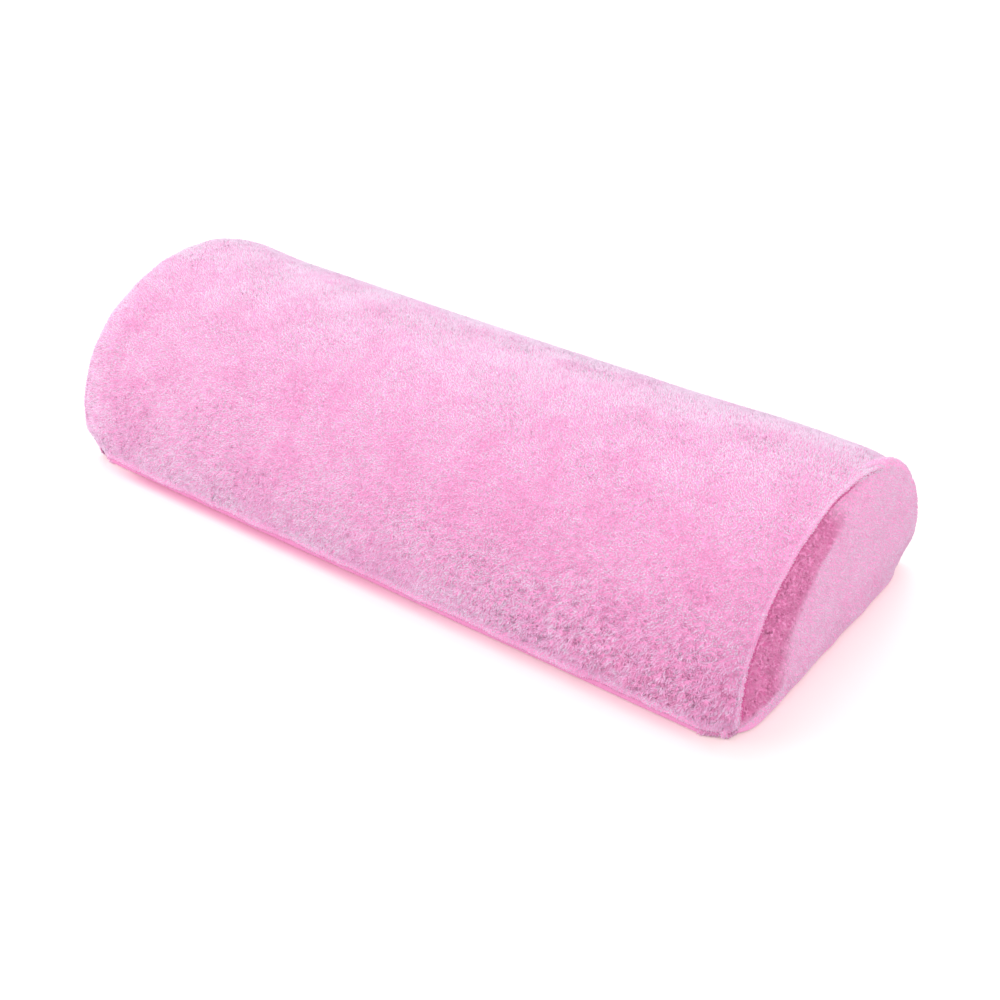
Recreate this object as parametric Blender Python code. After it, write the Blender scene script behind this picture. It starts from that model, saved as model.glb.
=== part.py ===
"""Manicure hand rest: a half-round foam cushion in a sewn terry cover with a concealed zip.

Units are metres, +Z is up, X runs along the cushion and +Y is its back. The origin is
the middle of the flat underside.
"""

import math

import bmesh
import bpy
from mathutils import Vector

# The cushion as it lies on the table
CUSHION_LENGTH = 0.300
CUSHION_WIDTH = 0.120
CUSHION_HEIGHT = 0.065
SHOULDER_HEIGHT = 0.013
FOOT_TUCK = 0.004
MIDDLE_SAG = 0.0008

# The terry cloth, at its full pile, flattened beside a seam, and turned in behind one
CLOTH = 0.003
SEAM_CLOTH = 0.0015
ALLOWANCE_CLOTH = 0.0009
ALLOWANCE_WIDTH = 0.008
CLEARANCE = 0.0003

# The end seams: how far the wrap rolls in to its edge, and how the end panel stands in it
LIP_DROP = 0.001
LIP_RUN = 0.012
THINNING_RUN = 0.003
END_BULGE = 0.002
END_RECESS = 0.002
RIM_RADIUS = 0.001
BULGE_POWER = 4
FRONT_SEAM_HEIGHT = 0.0014

# The concealed zip in the back seam
ZIP_HEIGHT = 0.012
ZIP_SLIT = 0.0015
SLIT_TAPER = 0.006
TAPE_THICKNESS = 0.0007
TAPE_WIDTH = 0.006
TAPE_TAIL = 0.008
TAPE_END_GAP = 0.00215
COIL_DIAMETER = 0.0016
COIL_WAIST = 0.0011
COIL_PITCH = 0.003
STOP_LENGTH = 0.0025

# The zip's slider and pull
SLIDER_LENGTH = 0.010
SLIDER_PLATE = 0.0009
SLIDER_FLARE = 0.0007
SLIDER_EDGE = 0.0003
BRIDGE_HALF_WIDTH = 0.002
BRIDGE_STANDOFF = 0.0006
BRIDGE_THICKNESS = 0.001
BAIL_WIDTH = 0.0014
BAIL_THICKNESS = 0.0008
BAIL_SPAN = 0.0066
PULL_THICKNESS = 0.001
PULL_LENGTH = 0.022
PULL_NECK_WIDTH = 0.0042
PULL_TIP_WIDTH = 0.0058
PULL_RAIL = 0.0009
PULL_HOLE_RADIUS = 0.0012

# How finely the curves are divided
WRAP_STATIONS = 32
FOOT_STATIONS = 7
BASE_STATIONS = 4
FRONT_STATIONS = 3
TAPE_STATIONS = 8
LIP_STEPS = 5
FOLD_STEPS = 6
COIL_SIDES = 5
OUTLINE_STEPS = 10

# Sizes that follow from those above
TIP_X = CUSHION_LENGTH / 2 - END_BULGE
FOLD_RADIUS = (SEAM_CLOTH + CLEARANCE + ALLOWANCE_CLOTH) / 2
HEM_INSET = LIP_DROP + 2 * FOLD_RADIUS
RIM_INSET = HEM_INSET + CLEARANCE
RIM_X = TIP_X - END_RECESS
TAPE_INSET = CLOTH + CLEARANCE
TAPE_BACK_INSET = TAPE_INSET + TAPE_THICKNESS
COIL_INSET = TAPE_BACK_INSET + CLEARANCE + COIL_DIAMETER / 2
COIL_OFFSET = ZIP_SLIT / 2 + COIL_DIAMETER / 2
HEM_X = TIP_X - FOLD_RADIUS - ALLOWANCE_WIDTH - THINNING_RUN
TAPE_HALF_LENGTH = HEM_X - THINNING_RUN - TAPE_END_GAP
ZIP_LENGTH = 2 * (TAPE_HALF_LENGTH - TAPE_TAIL - STOP_LENGTH)
SEAM_OPENING = CLEARANCE * SHOULDER_HEIGHT / (SHOULDER_HEIGHT - HEM_INSET)
SLIDER_INSET = COIL_INSET + COIL_DIAMETER / 2 + CLEARANCE + SLIDER_PLATE
WING_INNER = COIL_OFFSET + COIL_DIAMETER / 2 + CLEARANCE
WING_OUTER = WING_INNER + SLIDER_PLATE
BRIDGE_TOP = BRIDGE_STANDOFF + BRIDGE_THICKNESS
PULL_SWEEP = PULL_THICKNESS * math.sqrt(0.5) + CLEARANCE
PULL_AXIS = BRIDGE_TOP + PULL_SWEEP
SLIDER_CLOSED_X = ZIP_LENGTH / 2 - SLIDER_LENGTH / 2 - CLEARANCE
SAG_STATIONS = (0.0, ZIP_LENGTH / 4, ZIP_LENGTH / 2)
ZIP_STATIONS = SAG_STATIONS + ((ZIP_LENGTH + SLIT_TAPER) / 2, ZIP_LENGTH / 2 + SLIT_TAPER)


def clear_scene():
    """Remove whatever objects the file opened with."""
    for old in list(bpy.data.objects):
        bpy.data.objects.remove(old)


def make_material(name, color, roughness, metallic=0.0):
    """A Principled material in one colour."""
    material = bpy.data.materials.new(name)
    material.use_nodes = True
    shader = material.node_tree.nodes["Principled BSDF"]
    shader.inputs["Base Color"].default_value = (*color, 1.0)
    shader.inputs["Roughness"].default_value = roughness
    shader.inputs["Metallic"].default_value = metallic
    return material


def add_object(name, bm, material, place=(0.0, 0.0, 0.0), parent=None, smooth_angle=40.0):
    """Turn a bmesh into a smooth-shaded object whose faces point outwards."""
    bmesh.ops.recalc_face_normals(bm, faces=bm.faces)
    mesh = bpy.data.meshes.new(name)
    bm.to_mesh(mesh)
    bm.free()
    mesh.materials.append(material)
    mesh.shade_smooth()
    mesh.set_sharp_from_angle(angle=math.radians(smooth_angle))
    made = bpy.data.objects.new(name, mesh)
    made.location = place
    made.parent = parent
    bpy.context.scene.collection.objects.link(made)
    return made


def smooth_step(value):
    """0 below 0, 1 above 1, and a smooth rise between."""
    value = min(1.0, max(0.0, value))
    return value * value * (3 - 2 * value)


def sag_at(x):
    """How far the crown has settled at x: most at the middle, straight between its stations."""
    run = 2 * abs(x) / ZIP_LENGTH
    return MIDDLE_SAG * max(0.0, min(1 - run / 2, 1.5 * (1 - run)))


def section_point(x, inset, s):
    """Point on the D-shaped section at x, drawn in by inset.

    s runs round the section: -1 to 0 up the front foot, 0 to 1 over the arch, 1 to 2
    down the back foot, and 2 to 3 forwards along the flat base.
    """
    if s > 3:
        s -= 4
    half_width = CUSHION_WIDTH / 2 - inset
    foot_depth = FOOT_TUCK * (1 - inset / SHOULDER_HEIGHT)
    foot_height = SHOULDER_HEIGHT - inset
    if 0 <= s <= 1:
        arch_height = CUSHION_HEIGHT - SHOULDER_HEIGHT - inset - sag_at(x)
        angle = math.pi * s
        z = SHOULDER_HEIGHT + arch_height * math.sin(angle)
        return x, -half_width * math.cos(angle), z
    if s > 2:
        return x, (half_width - foot_depth) * (5 - 2 * s), inset
    side, angle = (-1, -s) if s < 0 else (1, s - 1)
    angle *= math.pi / 2
    y = half_width - foot_depth * (1 - math.cos(angle))
    return x, side * y, SHOULDER_HEIGHT - foot_height * math.sin(angle)


def back_station(height, inset=0.0):
    """The s of the back wall at a height above the table, no lower than the wall's own foot."""
    rise = height - SHOULDER_HEIGHT
    if rise > 0:
        return 1 - math.asin(rise / (CUSHION_HEIGHT - SHOULDER_HEIGHT - inset)) / math.pi
    return 1 + math.asin(min(1.0, -rise / (SHOULDER_HEIGHT - inset))) * 2 / math.pi


def front_station(height):
    """The s of the front foot at a height above the table."""
    return -math.asin((SHOULDER_HEIGHT - height) / SHOULDER_HEIGHT) * 2 / math.pi


ZIP_FACE_Y = section_point(0.0, 0.0, back_station(ZIP_HEIGHT))[1]
WING_LOW = ZIP_HEIGHT - WING_OUTER - SLIDER_FLARE
WING_STATION = back_station(WING_LOW, TAPE_BACK_INSET)
WING_TIP_INSET = ZIP_FACE_Y - section_point(0.0, TAPE_BACK_INSET, WING_STATION)[1] + CLEARANCE


def spaced(first, last, steps):
    """steps + 1 evenly spaced values from first to last."""
    return [first + (last - first) * i / steps for i in range(steps + 1)]


def full_ring_stations():
    """The s values of one closed section, without its repeated last point."""
    around = spaced(-1, 0, FOOT_STATIONS)[:-1]
    around += spaced(0, 1, WRAP_STATIONS)[:-1]
    around += spaced(1, 2, FOOT_STATIONS)[:-1]
    around += spaced(2, 3, BASE_STATIONS)[:-1]
    return around


def outer_inset(x):
    """How far the cloth's outer face is drawn in, at a distance x from the middle."""
    run = (abs(x) - (TIP_X - LIP_RUN)) / (LIP_RUN - FOLD_RADIUS)
    return LIP_DROP * max(0.0, run) ** 2


def sleeve_profile():
    """The cloth's section along X as a closed list of (x, inset), for the wrap and the base.

    Its outer layer rolls in to the end seam, folds under and ends in a seam allowance.
    """
    fold_x = TIP_X - FOLD_RADIUS
    free_x = fold_x - ALLOWANCE_WIDTH
    layer_inset = LIP_DROP + SEAM_CLOTH
    outer = [(x, 0.0) for x in ZIP_STATIONS]
    outer += [(x, outer_inset(x)) for x in spaced(TIP_X - LIP_RUN, fold_x, LIP_STEPS)[:-1]]
    fold = [
        (fold_x + FOLD_RADIUS * math.sin(angle), LIP_DROP + FOLD_RADIUS * (1 - math.cos(angle)))
        for angle in spaced(0.0, math.pi, FOLD_STEPS)
    ]
    hem = [
        (free_x, HEM_INSET),
        (free_x, HEM_INSET - ALLOWANCE_CLOTH),
        (fold_x - CLEARANCE, HEM_INSET - ALLOWANCE_CLOTH),
        (fold_x - CLEARANCE, layer_inset),
        (free_x - CLEARANCE, layer_inset),
        (free_x - CLEARANCE - THINNING_RUN, CLOTH),
    ]
    inner = [(x, CLOTH) for x in reversed(ZIP_STATIONS)]
    right = outer + fold + hem + inner
    left = [(-x, inset) for x, inset in reversed(right[1:-1])]
    return right + left


def seam_opening_at(x):
    """The open height of the back seam: the zip's slit, closing to a sewn seam past its ends."""
    shut = smooth_step((abs(x) - ZIP_LENGTH / 2) / SLIT_TAPER)
    return ZIP_SLIT + (SEAM_OPENING - ZIP_SLIT) * shut


def skin(rings):
    """A bmesh with faces between closed rings of points in order, and its rows of vertices."""
    bm = bmesh.new()
    rows = [[bm.verts.new(point) for point in ring] for ring in rings]
    count = len(rows[0])
    for row, after in zip(rows, rows[1:]):
        for j in range(count):
            k = (j + 1) % count
            bm.faces.new((row[j], row[k], after[k], after[j]))
    return bm, rows


def close_flat(rings, pieces=None):
    """Join rings in order and fill each flat end, whole or as the given convex pieces."""
    bm, rows = skin(rings)
    for row in (rows[0], rows[-1]):
        for piece in pieces or [range(len(row))]:
            bm.faces.new([row[i] for i in piece])
    bmesh.ops.triangulate(bm, faces=bm.faces)
    return bm


def close_at_poles(rings, first_pole, last_pole):
    """Join rings in order and close each end at a pole."""
    bm, rows = skin(rings)
    for row, pole in ((rows[0], first_pole), (rows[-1], last_pole)):
        tip = bm.verts.new(pole)
        for j in range(len(row)):
            bm.faces.new((row[j], row[(j + 1) % len(row)], tip))
    bmesh.ops.triangulate(bm, faces=bm.faces)
    return bm


def close_sleeve(rings):
    """Join sleeve profiles in order and close the cloth along both long seams.

    Point 0 of a profile is its outer middle and point half its inner middle. The cut edge
    of the cloth is closed by quads between the two, and past them by the end's outer
    layer, its fold and its seam allowance. A negative index gives the left end's point.
    """
    bm, rows = skin(rings)
    half = len(rows[0]) // 2
    spans = len(ZIP_STATIONS) - 1
    fold = len(ZIP_STATIONS) + LIP_STEPS
    hem = fold + FOLD_STEPS
    pieces = [(i, i + 1, half - i - 1, half - i) for i in range(spans)]
    pieces.append([*range(spans, fold + 1), hem + 4, hem + 5, hem + 6, half - spans])
    pieces.append([*range(fold, hem + 1), hem + 3, hem + 4])
    pieces.append([hem, hem + 1, hem + 2, hem + 3])
    for row in (rows[0], rows[-1]):
        for side in (1, -1):
            for piece in pieces:
                bm.faces.new([row[side * j] for j in piece])
    bmesh.ops.triangulate(bm, faces=bm.faces)
    return bm


def section_ring(x, inset, scale=1.0):
    """A closed section at x, drawn in by inset and shrunk towards its middle."""
    centre = Vector((0.0, CUSHION_HEIGHT / 2))
    ring = []
    for s in full_ring_stations():
        point = Vector(section_point(x, inset, s)[1:])
        y, z = centre + (point - centre) * scale
        ring.append((x, y, z))
    return ring


def bulged_x(scale):
    """The end panel's outer face: full at the middle, falling away to its rim."""
    rise = CUSHION_LENGTH / 2 - RIM_X
    return RIM_X + rise * (1 - scale**BULGE_POWER)


def end_cloth(scale):
    """The end panel's thickness, which thins towards its rim."""
    thin = smooth_step((scale - 0.8) / 0.2)
    return CLOTH + (SEAM_CLOTH - CLOTH) * thin


def zip_lip(profile, side):
    """The level edge of the cloth along the back seam, above (1) or below (-1) its opening."""
    lip = []
    for x, inset in profile:
        height = ZIP_HEIGHT + side * seam_opening_at(x) / 2
        lip.append(section_point(x, inset, back_station(height, inset)))
    return lip


FACE_SCALES = (0.25, 0.5, 0.7, 0.85, 0.95, 1.0)


def make_wrap_panel(material):
    """The main terry panel, from the front seam over the arch to the zip's upper lip."""
    front = front_station(FRONT_SEAM_HEIGHT + SEAM_OPENING / 2)
    back = back_station(ZIP_HEIGHT + ZIP_SLIT / 2)
    profile = sleeve_profile()
    rings = []
    for s in spaced(front, 0, FOOT_STATIONS)[:-1] + spaced(0, back, WRAP_STATIONS)[:-1]:
        rings.append([section_point(x, inset, s) for x, inset in profile])
    rings.append(zip_lip(profile, 1))
    return add_object("wrap_panel", close_sleeve(rings), material)


def make_base_panel(material):
    """The terry underside, from the zip's lower lip down the back foot to the front seam."""
    front = 4 + front_station(FRONT_SEAM_HEIGHT - SEAM_OPENING / 2)
    back = back_station(ZIP_HEIGHT - ZIP_SLIT / 2)
    profile = sleeve_profile()
    rings = [zip_lip(profile, -1)]
    stations = spaced(back, 2, FOOT_STATIONS)[1:]
    stations += spaced(2, 3, BASE_STATIONS)[1:] + spaced(3, front, FRONT_STATIONS)[1:]
    for s in stations:
        rings.append([section_point(x, inset, s) for x, inset in profile])
    return add_object("base_panel", close_sleeve(rings), material)


def make_end_panel(name, side, material):
    """A D-shaped terry end panel: a bulged face with its rim turned in behind the wrap's hem."""
    rings = []
    face_inset = RIM_INSET + RIM_RADIUS
    for scale in FACE_SCALES:
        rings.append(section_ring(bulged_x(scale), face_inset, scale))
    for angle in spaced(0.0, math.pi / 2, 3)[1:]:
        x = RIM_X - RIM_RADIUS * (1 - math.cos(angle))
        rings.append(section_ring(x, face_inset - RIM_RADIUS * math.sin(angle)))
    free_x = RIM_X - RIM_RADIUS - ALLOWANCE_WIDTH
    inner_inset = RIM_INSET + ALLOWANCE_CLOTH
    rings.append(section_ring(free_x, RIM_INSET))
    rings.append(section_ring(free_x, inner_inset))
    for scale in reversed(FACE_SCALES):
        rings.append(section_ring(bulged_x(scale) - end_cloth(scale), inner_inset, scale))
    rings = [[(side * x, y, z) for x, y, z in ring] for ring in rings]
    middle = CUSHION_HEIGHT / 2
    outer_pole = (side * bulged_x(0.0), 0.0, middle)
    inner_pole = (side * (bulged_x(0.0) - CLOTH), 0.0, middle)
    return add_object(name, close_at_poles(rings, outer_pole, inner_pole), material)


def tape_relief(x, s):
    """How much deeper the foam is pressed in under the zip's tapes.

    The pressed part reaches one station past the upper tape and fades over the next.
    """
    along = smooth_step((TAPE_HALF_LENGTH + 2 * CLEARANCE - abs(x)) / CLEARANCE)
    tape_top = back_station(ZIP_HEIGHT + ZIP_SLIT / 2 + TAPE_WIDTH)
    return (TAPE_THICKNESS + CLEARANCE) * along * smooth_step((s - tape_top) * WRAP_STATIONS + 2)


def make_foam_core(material):
    """The half-round foam block: rebated for the end seams and for the zip behind it."""
    seam_inset = RIM_INSET + ALLOWANCE_CLOTH + CLEARANCE
    seam_x = RIM_X - RIM_RADIUS - ALLOWANCE_WIDTH - CLEARANCE
    tape_x = TAPE_HALF_LENGTH + CLEARANCE
    waist = min(seam_x, HEM_X) - THINNING_RUN
    stops = [(x, TAPE_INSET) for x in (*SAG_STATIONS, tape_x, tape_x + CLEARANCE, waist)]
    stops.append((min(seam_x, HEM_X), seam_inset))
    face = [(bulged_x(k) - end_cloth(k) - CLEARANCE, k) for k in reversed(FACE_SCALES)]

    def ring_at(x, inset):
        ring = []
        for s in full_ring_stations():
            relief = tape_relief(x, s) if s < 2 else 0.0
            ring.append(section_point(x, inset + relief, s))
        return ring

    right = [ring_at(x, inset) for x, inset in stops]
    right += [section_ring(x, seam_inset, k) for x, k in face]
    left = [[(-x, y, z) for x, y, z in ring] for ring in reversed(right[1:])]
    pole_x = bulged_x(0.0) - CLOTH - CLEARANCE
    middle = CUSHION_HEIGHT / 2
    bm = close_at_poles(left + right, (-pole_x, 0.0, middle), (pole_x, 0.0, middle))
    core = add_object("foam_core", bm, material)

    cutter_bm = bmesh.new()
    bmesh.ops.create_cube(cutter_bm, size=1.0)
    wall_y = ZIP_FACE_Y - SLIDER_INSET - CLEARANCE
    top_z = ZIP_HEIGHT + WING_OUTER + SLIDER_FLARE + CLEARANCE
    low = Vector((-tape_x, wall_y, -CLOTH))
    high = Vector((tape_x, CUSHION_WIDTH, top_z))
    for vert in cutter_bm.verts:
        vert.co = [a + (b - a) * (c + 0.5) for a, b, c in zip(low, high, vert.co)]
    cutter = add_object("zip_rebate_cutter", cutter_bm, material)
    cutter.hide_render = True
    cutter.display_type = "WIRE"
    rebate = core.modifiers.new("zip_rebate", "BOOLEAN")
    rebate.operation = "DIFFERENCE"
    rebate.object = cutter
    return core


def make_zip_tape(name, near, far, material):
    """A woven tape behind the cover, between the heights of its two long edges."""
    half = TAPE_HALF_LENGTH
    layers = (TAPE_INSET, TAPE_INSET, TAPE_BACK_INSET, TAPE_BACK_INSET)
    profile = list(zip((-half, half, half, -half), layers))
    rings = []
    for height in spaced(near, far, TAPE_STATIONS):
        rings.append([section_point(x, i, back_station(height, i)) for x, i in profile])
    return add_object(name, close_flat(rings), material)


def coil_place(side):
    """The (y, z) of a coil's centre line, above (1) or below (-1) the slit."""
    return ZIP_FACE_Y - COIL_INSET, ZIP_HEIGHT + side * COIL_OFFSET


def make_zip_coil(name, side, material):
    """A nylon coil along the slit, drawn as turns that swell and narrow."""
    centre_y, centre_z = coil_place(side)
    turns = int((ZIP_LENGTH + CLEARANCE) / COIL_PITCH)
    start = -turns * COIL_PITCH / 2
    rings = []
    for i in range(2 * turns + 1):
        radius = (COIL_WAIST if i % 2 == 0 else COIL_DIAMETER) / 2
        ring = []
        for k in range(COIL_SIDES):
            angle = 2 * math.pi * k / COIL_SIDES
            y = centre_y + radius * math.cos(angle)
            z = centre_z + radius * math.sin(angle)
            ring.append((start + i * COIL_PITCH / 2, y, z))
        rings.append(ring)
    ends = [(sign * turns * COIL_PITCH / 2, centre_y, centre_z) for sign in (-1, 1)]
    return add_object(name, close_at_poles(rings, *ends), material)


def extrude_outline(outline, low, high, to_point):
    """A solid between two levels of one outline; to_point turns (u, v, level) into x, y, z."""
    return close_flat([[to_point(u, v, level) for u, v in outline] for level in (low, high)])


def bevel_edges(made, width):
    """Round an object's sharp edges a little."""
    bevel = made.modifiers.new("edges", "BEVEL")
    bevel.width = width
    bevel.segments = 1
    bevel.limit_method = "ANGLE"


def make_zip_stop(name, side, material):
    """A stop fused across both coils' line at one end of the zip."""
    y, z = coil_place(0)
    radius = COIL_DIAMETER / 2
    half = COIL_OFFSET + radius
    outline = [(y - radius, z - half), (y + radius, z - half)]
    outline += [(y + radius, z + half), (y - radius, z + half)]
    near = side * (ZIP_LENGTH / 2 + CLEARANCE)
    far = near + side * STOP_LENGTH
    bm = extrude_outline(outline, min(near, far), max(near, far), lambda u, v, x: (x, u, v))
    made = add_object(name, bm, material)
    bevel_edges(made, CLEARANCE)
    return made


def slider_outline(flare):
    """The slider across its travel, as (out, up) from the slit: a channel, a post and a bridge."""
    channel_floor = -SLIDER_INSET + SLIDER_PLATE
    wing_tip = -WING_TIP_INSET
    post = ZIP_SLIT / 2 - CLEARANCE
    half = [
        (-SLIDER_INSET, WING_OUTER + flare - SLIDER_EDGE),
        (-SLIDER_INSET + SLIDER_EDGE, WING_OUTER + flare),
        (wing_tip - SLIDER_EDGE, WING_OUTER + flare),
        (wing_tip, WING_OUTER + flare - SLIDER_EDGE),
        (wing_tip, WING_INNER + flare),
        (channel_floor, WING_INNER + flare),
        (channel_floor, post),
        (BRIDGE_STANDOFF, post),
        (BRIDGE_STANDOFF, BRIDGE_HALF_WIDTH),
        (BRIDGE_STANDOFF + BRIDGE_THICKNESS / 2, BRIDGE_HALF_WIDTH),
        (BRIDGE_TOP, BRIDGE_HALF_WIDTH / 2),
    ]
    return half + [(out, -up) for out, up in reversed(half)]


def make_zip_slider(material, origin):
    """The slider: its channel behind the coils, a post through the slit, a bridge and a bail."""
    half = SLIDER_LENGTH / 2
    rings = []
    for x, flare in ((-half, 0.0), (0.0, 0.0), (half, SLIDER_FLARE)):
        rings.append([(x, out, up) for out, up in slider_outline(flare)])
    last = len(rings[0]) - 1
    wing, plate, bridge = (0, 1, 2, 3, 4, 5), (0, 5, 6), (7, 8, 9, 10)
    pieces = [wing, plate, bridge]
    pieces += [[last - i for i in piece] for piece in pieces]
    pieces += [[i, j, last - j, last - i] for i, j in ((0, 6), (6, 7), (7, 10))]
    slider = add_object("zip_slider", close_flat(rings, pieces), material, origin)

    bail = add_object("zip_bail", bail_mesh(), material, origin)
    bail.hide_render = True
    bail.display_type = "WIRE"
    join = slider.modifiers.new("bail", "BOOLEAN")
    join.operation = "UNION"
    join.object = bail
    return slider


def bail_mesh():
    """The bail: a staple on the bridge that the pull's cross bar runs under."""
    foot = BRIDGE_TOP - BRIDGE_THICKNESS / 2
    under = PULL_AXIS + PULL_SWEEP
    top = under + BAIL_THICKNESS
    half = BAIL_SPAN / 2
    leg = half - BAIL_THICKNESS
    outer = [(-half, foot), (-half, top - BAIL_THICKNESS), (-leg, top)]
    outer += [(leg, top), (half, top - BAIL_THICKNESS), (half, foot)]
    inner = [(leg, foot), (leg, under), (-leg, under), (-leg, foot)]
    half_width = BAIL_WIDTH / 2
    return extrude_outline(
        outer + inner, -half_width, half_width, lambda x, out, up: (x, out, up)
    )


def make_zip_pull(material, origin, slider):
    """The pull: a tapered tab whose eye hooks the bail, with its origin on the hinge line."""
    bar = PULL_THICKNESS / 2
    neck = PULL_NECK_WIDTH / 2
    tip = PULL_TIP_WIDTH / 2
    tip_centre = -(PULL_LENGTH - bar - tip)
    outline = [(bar, -neck), (bar, neck)]
    for angle in spaced(math.pi / 2, 3 * math.pi / 2, OUTLINE_STEPS):
        outline.append((tip_centre + tip * math.cos(angle), tip * math.sin(angle)))
    bm = extrude_outline(outline, -bar, bar, lambda x, up, out: (x, out, up))
    pull = add_object("zip_pull", bm, material, origin, slider)

    bail_reach = math.hypot(BAIL_SPAN / 2, PULL_SWEEP + BAIL_THICKNESS)
    eye_end = -(bail_reach + CLEARANCE)
    eye_half = neck - PULL_RAIL
    eye = [(-bar, -eye_half), (-bar, eye_half), (eye_end, eye_half), (eye_end, -eye_half)]
    hole = [
        (tip_centre + PULL_HOLE_RADIUS * math.cos(angle), PULL_HOLE_RADIUS * math.sin(angle))
        for angle in spaced(0.0, 2 * math.pi, OUTLINE_STEPS)[:-1]
    ]
    for label, cut in (("eye", eye), ("hole", hole)):
        cutter_bm = extrude_outline(
            cut, -PULL_THICKNESS, PULL_THICKNESS, lambda x, up, out: (x, out, up)
        )
        cutter = add_object(f"zip_pull_{label}_cutter", cutter_bm, material, origin, slider)
        cutter.hide_render = True
        cutter.display_type = "WIRE"
        opening = pull.modifiers.new(label, "BOOLEAN")
        opening.operation = "DIFFERENCE"
        opening.object = cutter
    return pull


def build():
    """Make every piece of the hand rest."""
    clear_scene()
    terry = make_material("terry", (0.86, 0.36, 0.60), 0.95)
    foam = make_material("foam", (0.93, 0.90, 0.80), 0.9)
    tape = make_material("zip_tape", (0.80, 0.30, 0.52), 0.8)
    nylon = make_material("zip_nylon", (0.84, 0.38, 0.60), 0.35)
    metal = make_material("zip_metal", (0.80, 0.80, 0.82), 0.3, 1.0)

    make_foam_core(foam)
    make_wrap_panel(terry)
    make_base_panel(terry)
    make_end_panel("end_panel_right", 1, terry)
    make_end_panel("end_panel_left", -1, terry)

    upper_lip = ZIP_HEIGHT + ZIP_SLIT / 2
    lower_lip = ZIP_HEIGHT - ZIP_SLIT / 2
    make_zip_tape("zip_tape_upper", upper_lip, upper_lip + TAPE_WIDTH, tape)
    make_zip_tape("zip_tape_lower", lower_lip, lower_lip - TAPE_WIDTH, tape)
    make_zip_coil("zip_coil_upper", 1, nylon)
    make_zip_coil("zip_coil_lower", -1, nylon)
    make_zip_stop("zip_stop_closed", 1, nylon)
    make_zip_stop("zip_stop_open", -1, nylon)

    slider_place = (SLIDER_CLOSED_X, ZIP_FACE_Y, ZIP_HEIGHT)
    slider = make_zip_slider(metal, slider_place)
    make_zip_pull(metal, (0.0, PULL_AXIS, 0.0), slider)


build()
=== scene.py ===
"""The looks of the manicure hand rest: brushed pink terry over a half-round foam cushion."""

import math

import bpy
import numpy as np
from mathutils import Matrix, Vector


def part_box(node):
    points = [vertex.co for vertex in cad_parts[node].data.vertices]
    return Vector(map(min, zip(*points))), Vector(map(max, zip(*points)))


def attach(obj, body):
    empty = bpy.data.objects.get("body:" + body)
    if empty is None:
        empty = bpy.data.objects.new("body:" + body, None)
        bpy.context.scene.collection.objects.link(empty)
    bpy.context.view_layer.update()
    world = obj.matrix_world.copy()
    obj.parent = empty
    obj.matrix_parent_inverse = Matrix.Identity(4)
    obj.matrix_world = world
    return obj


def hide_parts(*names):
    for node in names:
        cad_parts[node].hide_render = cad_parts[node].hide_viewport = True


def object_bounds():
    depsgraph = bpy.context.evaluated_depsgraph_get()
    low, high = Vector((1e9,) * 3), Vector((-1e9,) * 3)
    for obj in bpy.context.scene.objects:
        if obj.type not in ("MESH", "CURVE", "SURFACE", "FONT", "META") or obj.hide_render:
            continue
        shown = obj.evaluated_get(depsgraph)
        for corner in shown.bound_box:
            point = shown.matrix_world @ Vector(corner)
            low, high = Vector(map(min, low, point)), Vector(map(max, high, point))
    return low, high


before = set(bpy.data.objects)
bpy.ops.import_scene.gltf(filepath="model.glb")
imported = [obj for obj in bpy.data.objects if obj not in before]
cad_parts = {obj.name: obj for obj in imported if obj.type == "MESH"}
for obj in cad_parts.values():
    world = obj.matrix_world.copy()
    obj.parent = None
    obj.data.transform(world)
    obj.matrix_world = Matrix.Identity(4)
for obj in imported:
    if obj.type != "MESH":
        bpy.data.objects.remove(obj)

cad_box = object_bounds()

# The sleeve's section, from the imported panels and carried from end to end
WRAP_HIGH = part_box("wrap_panel")[1]
TIP_X = WRAP_HIGH[0]
HALF_WIDTH = WRAP_HIGH[1]
CROWN = cad_box[1][2]
PANEL_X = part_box("end_panel_right")[1][0]
SHOULDER = 0.013
CLOTH = 0.003

# How far the toes of the feet lie inside the cushion's full width
FOOT_TUCK = 0.0026

# The sleeve's rolled ends: their radius, how far they come down and over what length, the
# hem behind them, and the radius of the long edges
LIP_RADIUS = 0.0017
LIP_DROP = 0.0019
LIP_RUN = 0.014
LIP_TUCK = 0.002
EDGE_RADIUS = 0.0012
FOLD_X = TIP_X - LIP_RADIUS

# The end panels' rims: where they stand, and how far they are drawn in behind the lip on
# the front, at the table and at the back, where they come out level with it
RIM_X = TIP_X - 0.0032
RIM_RADIUS = 0.0014
RIM_INSET = LIP_DROP + LIP_RADIUS
RIM_LOW_INSET = 0.0004
RIM_BACK_INSET = 0.0006
RIM_BACK_RISE = 0.0034
LIP_BACK_PULL = 0.0002

# The base panel's ends stop short of the lip, and the toes are drawn in and rounded
HEM_BACK = 0.004
CORNER_PULL = 0.0046
CORNER_ROUND = 0.0020

# The front seam's height above the table
FRONT_SEAM = 0.0016

# The ring of an end panel, as a share of its rim, where the pile stops behind the lip
PILE_RING = 0.965

# The slit over the zip: its height, the height of the sewn seam past it, and the change between
STOP_LOW, STOP_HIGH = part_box("zip_stop_closed")
ZIP_HEIGHT = (STOP_LOW[2] + STOP_HIGH[2]) / 2
ZIP_HALF = STOP_LOW[0]
SLIT = 0.0015
SEWN = 0.0003
SLIT_TAPER = 0.006

# The pile: root spacing, length and thickness, on the arch and on the end panels
WRAP_SPACING = 0.00068
WRAP_PILE = 0.0012
WRAP_FIBRE = 0.00042
END_SPACING = 0.00080
END_PILE = 0.0006
END_FIBRE = 0.00050
ROOT_DEPTH = 0.0003

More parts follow.
